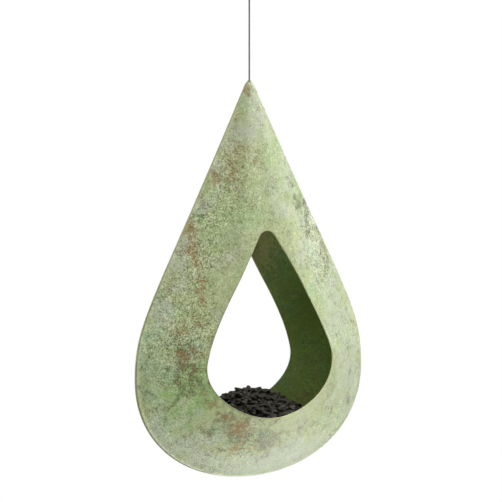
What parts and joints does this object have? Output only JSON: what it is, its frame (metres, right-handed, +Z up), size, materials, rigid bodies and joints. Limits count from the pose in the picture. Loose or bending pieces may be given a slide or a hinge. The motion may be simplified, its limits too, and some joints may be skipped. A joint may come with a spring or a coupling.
{
  "type": "hanging teardrop bird feeder",
  "caption": "Hollow verdigris teardrop feeder with an opening right through it and seed in its bowl, hung by the tip from a straight steel wire rope with a looped end on an S hook.",
  "frame": {"origin": "the hanging point: the inside of the S hook's upper bend", "axes": "+Z up along the wire; the front opening faces -Y; X across the openings"},
  "size_m": [0.2778, 0.0858, 0.5631],
  "materials": {
    "verdigris": "matt verdigris patina with rust-brown and teal patches",
    "weld": "darker patina on a low bead",
    "bush": "dull brass",
    "steel": "galvanised",
    "wire": "galvanised strands",
    "ferrule": "crimped, dull",
    "seed": "black sunflower seed husks"
  },
  "bodies": {
    "hook": {"s_hook": "steel"},
    "wire": {"hanging_wire": "wire", "loop_ferrule": "ferrule", "stop_ferrule": "ferrule"},
    "feeder": {"front_shell": "verdigris", "rear_shell": "verdigris", "seam_weld": "weld", "tip_bush": "bush", "stop_washer": "steel", "seed_fill": "seed"}
  },
  "joints": [
    {"name": "wire_swing", "type": "hinge", "parent": "hook", "child": "wire", "pos_m": [0, 0, -0.0406], "axis": [1, 0, 0], "range_deg": [-60, 60]},
    {"name": "feeder_spin", "type": "hinge", "parent": "wire", "child": "feeder", "pos_m": [0, 0, -0.1599], "axis": [0, 0, 1], "continuous": true}
  ]
}
